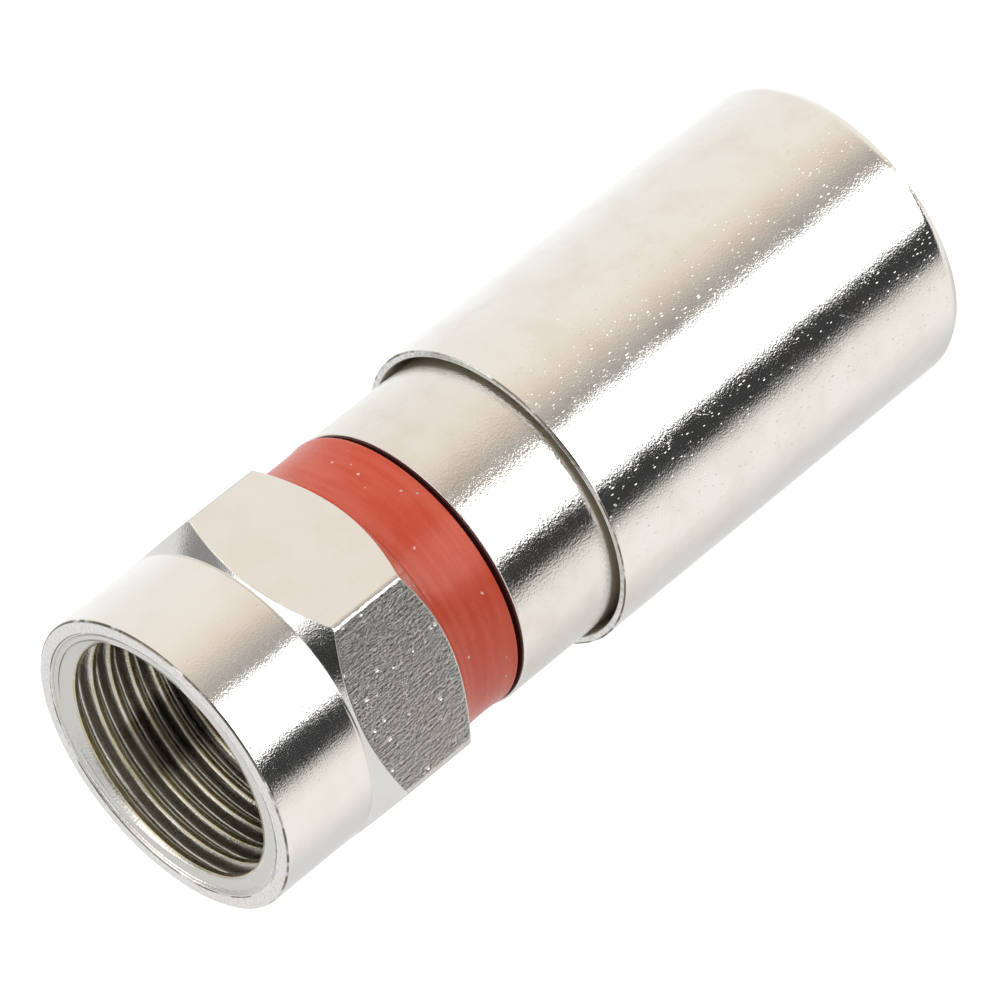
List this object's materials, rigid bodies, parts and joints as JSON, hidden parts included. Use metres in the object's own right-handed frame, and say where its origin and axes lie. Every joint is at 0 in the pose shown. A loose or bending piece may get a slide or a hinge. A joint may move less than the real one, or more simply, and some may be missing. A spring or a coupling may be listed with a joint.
{
  "type": "f connector",
  "caption": "Compression F connector for coaxial cable: free-turning hex coupling nut with inner thread, marker ring, body and a sliding compression sleeve.",
  "frame": {"origin": "centre of the sleeve's rear end, where the connector stands", "axes": "+Z along the axis towards the nut's mouth; two opposite corners of the hexagon lie on Y"},
  "size_m": [0.0114, 0.0128, 0.0317],
  "materials": {
    "nut_nickel": "turned brass with bright nickel plate",
    "post_nickel": "turned brass with nickel plate",
    "body_nickel": "turned brass with bright nickel plate",
    "sleeve_nickel": "turned brass with bright nickel plate",
    "ring_rubber": "moulded red silicone rubber, satin",
    "seal_rubber": "black rubber",
    "grip_plastic": "moulded natural plastic"
  },
  "bodies": {
    "connector": {"connector_body": "body_nickel", "post": "post_nickel", "marker_ring": "ring_rubber", "sleeve_seal": "seal_rubber"},
    "nut": {"coupling_nut": "nut_nickel"},
    "sleeve": {"compression_sleeve": "sleeve_nickel", "grip_ring": "grip_plastic"}
  },
  "joints": [
    {"name": "nut_spin", "type": "hinge", "parent": "connector", "child": "nut", "pos_m": [0, 0, 0.0276], "axis": [0, 0, 1], "continuous": true},
    {"name": "sleeve_slide", "type": "slide", "parent": "connector", "child": "sleeve", "axis": [0, 0, 1], "range_m": [0, 0.0042]}
  ]
}
